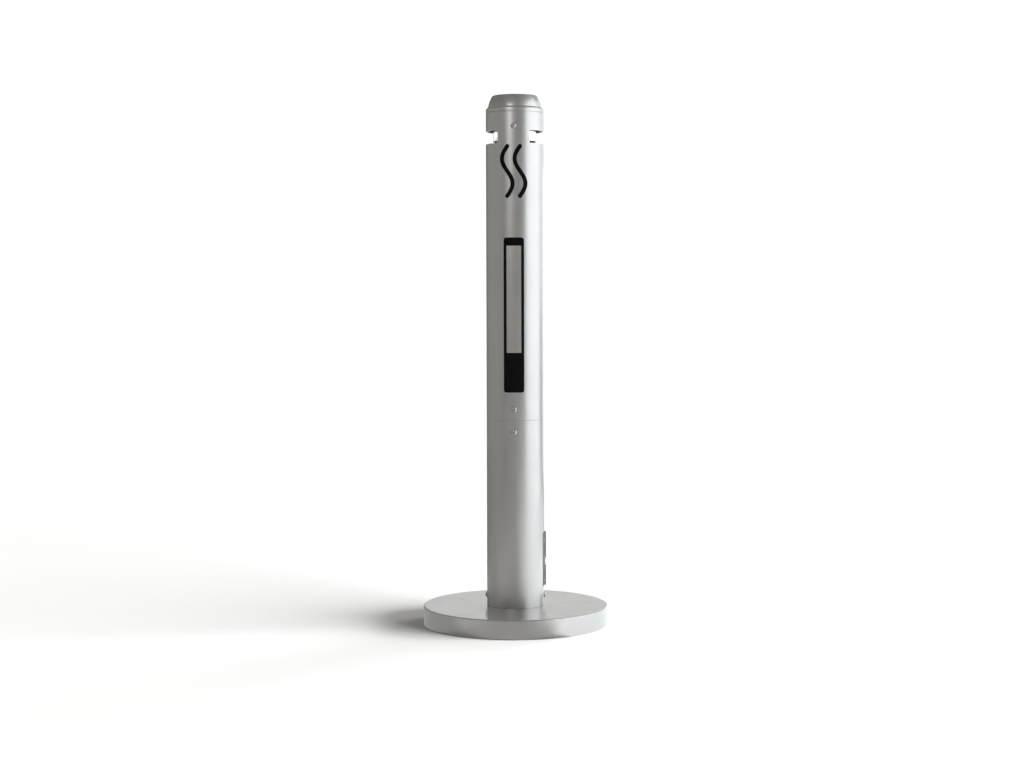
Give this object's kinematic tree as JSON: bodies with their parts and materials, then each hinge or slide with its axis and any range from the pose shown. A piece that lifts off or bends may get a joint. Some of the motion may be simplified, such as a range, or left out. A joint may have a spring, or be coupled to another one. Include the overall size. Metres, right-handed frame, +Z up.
{
  "type": "ashtray bin",
  "caption": "Free-standing post ashtray: round weighted base, slim tube, wide side slots under a conical cap, hinged rear door with a cam lock.",
  "frame": {"origin": "on the floor under the centre of the round base", "axes": "+Z up the post; the front of the post, with the pictogram, faces -Y; the slots face -X and +X; the door is at +Y"},
  "size_m": [0.3682, 0.3682, 1.052],
  "materials": {
    "silver_paint": "satin silver paint on aluminium",
    "silver_paint_steel": "satin silver paint on spun steel",
    "iron": "as cast, black dip",
    "rubber_black": "moulded",
    "zinc_steel": "zinc plated",
    "cast_alloy": "bare casting",
    "bright_sheet": "bright mill finish",
    "black_film": "printed vinyl film",
    "lock_chrome": "satin chrome",
    "hinge_steel": "silver paint"
  },
  "bodies": {
    "post": {"base_cover": "silver_paint_steel", "base_ballast": "iron", "base_foot_1": "rubber_black", "base_foot_2": "rubber_black", "base_foot_3": "rubber_black", "base_foot_4": "rubber_black", "base_washers": "zinc_steel", "base_bolts": "zinc_steel", "post_spigot": "cast_alloy", "post_screws": "zinc_steel", "lower_tube": "silver_paint", "joint_sleeve": "cast_alloy", "sleeve_screws": "zinc_steel", "upper_tube": "silver_paint", "pictogram": "black_film", "cap": "silver_paint", "cap_screws": "zinc_steel", "baffle": "bright_sheet", "baffle_screws": "zinc_steel", "hinge_upper_post_leaf": "hinge_steel", "hinge_lower_post_leaf": "hinge_steel", "hinge_upper_pin": "zinc_steel", "hinge_lower_pin": "zinc_steel", "hinge_post_rivets": "zinc_steel"},
    "door": {"door_panel": "silver_paint", "hinge_upper_door_leaf": "hinge_steel", "hinge_lower_door_leaf": "hinge_steel", "hinge_door_rivets": "zinc_steel", "lock_saddle": "lock_chrome", "lock_body": "lock_chrome", "lock_nut": "zinc_steel"},
    "lock": {"lock_plug": "lock_chrome", "lock_cam": "zinc_steel", "cam_screw": "zinc_steel"}
  },
  "joints": [
    {"name": "door_swing", "type": "hinge", "parent": "post", "child": "door", "pos_m": [0.05903, 0.0062, 0.1305], "axis": [0, 0, -1], "range_deg": [0, 110]},
    {"name": "lock_turn", "type": "hinge", "parent": "door", "child": "lock", "pos_m": [-0.04213, 0.03535, 0.1305], "axis": [0.766, -0.6428, 0], "range_deg": [0, 90]}
  ]
}
